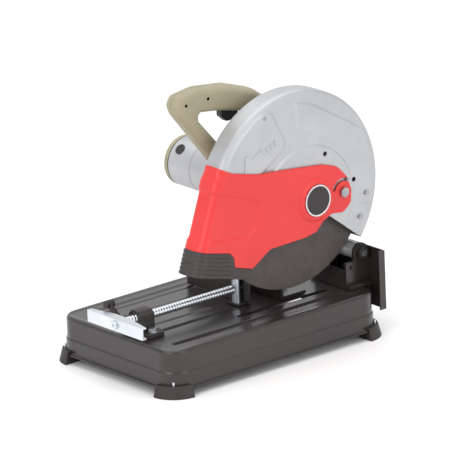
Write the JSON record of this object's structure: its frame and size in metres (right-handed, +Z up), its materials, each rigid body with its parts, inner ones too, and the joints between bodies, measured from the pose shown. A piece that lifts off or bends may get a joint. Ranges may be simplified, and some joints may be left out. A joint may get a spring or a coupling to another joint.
{
  "type": "abrasive chop saw",
  "caption": "Bench abrasive chop saw: a motor head with a guarded cut-off wheel pivots over a pressed steel base with a screw vise and fence.",
  "frame": {"origin": "on the floor under the middle of the whole saw", "axes": "+X to the operator's right, +Y to the back of the saw, +Z up"},
  "size_m": [0.348, 0.552, 0.4977],
  "materials": {
    "black_enamel": "semi-gloss",
    "foot_rubber": "satin",
    "lip_rubber": "satin",
    "zinc": "bright zinc",
    "steel": "machined",
    "cast_aluminium": "fine cast",
    "red_plastic": "semi-gloss",
    "khaki_plastic": "satin",
    "black_plastic": "matt",
    "abrasive": "gritty",
    "copper": "bright",
    "laminated_steel": "matt",
    "carbon": "matt",
    "silver_trim": "polished",
    "cast_iron": "semi-gloss paint"
  },
  "bodies": {
    "base": {"base_pan": "black_enamel", "foot_front_left": "foot_rubber", "foot_front_right": "foot_rubber", "foot_rear_left": "foot_rubber", "foot_rear_right": "foot_rubber", "foot_screws": "zinc", "fence": "black_enamel", "table_bolts": "zinc", "vise_bracket": "cast_iron", "half_nut_pin": "zinc", "pivot_bracket": "black_enamel", "bracket_bolts": "zinc", "depth_stop_bolt": "zinc", "pivot_pin": "steel", "pivot_nuts": "zinc", "return_spring": "steel", "spark_plate": "black_enamel"},
    "nut_lever": {"half_nut_lever": "cast_iron"},
    "jaw": {"vise_jaw": "black_enamel", "jaw_pin": "zinc"},
    "crank": {"vise_screw": "zinc", "crank_rivet": "zinc", "crank_handle": "zinc"},
    "head": {"head_casting": "cast_aluminium", "gearbox_cover": "cast_aluminium", "ball_bearings": "steel", "wheel_guard": "cast_aluminium", "shield_pivot_bolt": "zinc", "shield_stop_pin": "zinc", "motor_housing": "cast_aluminium", "brush_holders": "black_plastic", "carbon_brushes": "carbon", "brush_caps": "black_plastic", "stator": "laminated_steel", "field_coils": "copper", "motor_end_cap": "khaki_plastic", "housing_screws": "zinc", "handle_shell_left": "khaki_plastic", "handle_shell_right": "khaki_plastic", "handle_screws": "zinc", "switch_body": "black_plastic", "cord_gland": "lip_rubber"},
    "armature": {"armature_shaft": "steel", "armature_core": "laminated_steel", "armature_windings": "copper", "commutator": "copper", "cooling_fan": "black_plastic"},
    "spindle": {"spindle": "steel", "spindle_gear": "steel", "inner_flange": "steel", "outer_flange": "steel", "arbor_bolt": "zinc", "abrasive_wheel": "abrasive"},
    "lock_pin": {"spindle_lock": "black_plastic"},
    "shield": {"safety_guard": "red_plastic", "rubber_lip": "lip_rubber", "badge_disc": "black_plastic", "badge_ring": "silver_trim"},
    "trigger": {"trigger": "black_plastic"},
    "lock_button": {"lock_button": "black_plastic"}
  },
  "joints": [
    {"name": "head_pivot", "type": "hinge", "parent": "base", "child": "head", "pos_m": [0.065, 0.226, 0.146], "axis": [1, 0, 0], "range_deg": [-20, 14]},
    {"name": "wheel_spin", "type": "hinge", "parent": "head", "child": "spindle", "pos_m": [0.085, 0.088, 0.285], "axis": [1, 0, 0], "continuous": true},
    {"name": "armature_spin", "type": "hinge", "parent": "head", "child": "armature", "pos_m": [-0.05, 0.05, 0.301], "axis": [1, 0, 0], "continuous": true},
    {"name": "spindle_lock_press", "type": "slide", "parent": "head", "child": "lock_pin", "axis": [1, 0, 0], "range_m": [0, 0.009], "stiffness_N_per_m": 500, "springref_m": -0.003},
    {"name": "shield_lift", "type": "hinge", "parent": "head", "child": "shield", "pos_m": [0.11, 0.192, 0.266], "axis": [1, 0, 0], "range_deg": [-80, 0]},
    {"name": "trigger_squeeze", "type": "slide", "parent": "head", "child": "trigger", "axis": [0, 0, 1], "range_m": [0, 0.006], "stiffness_N_per_m": 600, "springref_m": -0.003},
    {"name": "lock_button_press", "type": "slide", "parent": "head", "child": "lock_button", "axis": [1, 0, 0], "range_m": [0, 0.003], "stiffness_N_per_m": 500, "springref_m": -0.002},
    {"name": "jaw_slide", "type": "slide", "parent": "base", "child": "jaw", "axis": [0, 1, 0], "range_m": [-0.12, 0]},
    {"name": "crank_turn", "type": "hinge", "parent": "jaw", "child": "crank", "pos_m": [0.028, -0.25, 0.112], "axis": [0, 1, 0], "range_deg": [-7200, 0]},
    {"name": "nut_lever_flip", "type": "hinge", "parent": "base", "child": "nut_lever", "pos_m": [0.003, -0.235, 0.101], "axis": [0, 1, 0], "range_deg": [0, 60]}
  ],
  "couplings": [
    {"joint": "armature_spin", "follows": "wheel_spin", "ratio": -4.1111},
    {"joint": "jaw_slide", "follows": "crank_turn", "m_per_rad": 0.00095493}
  ]
}
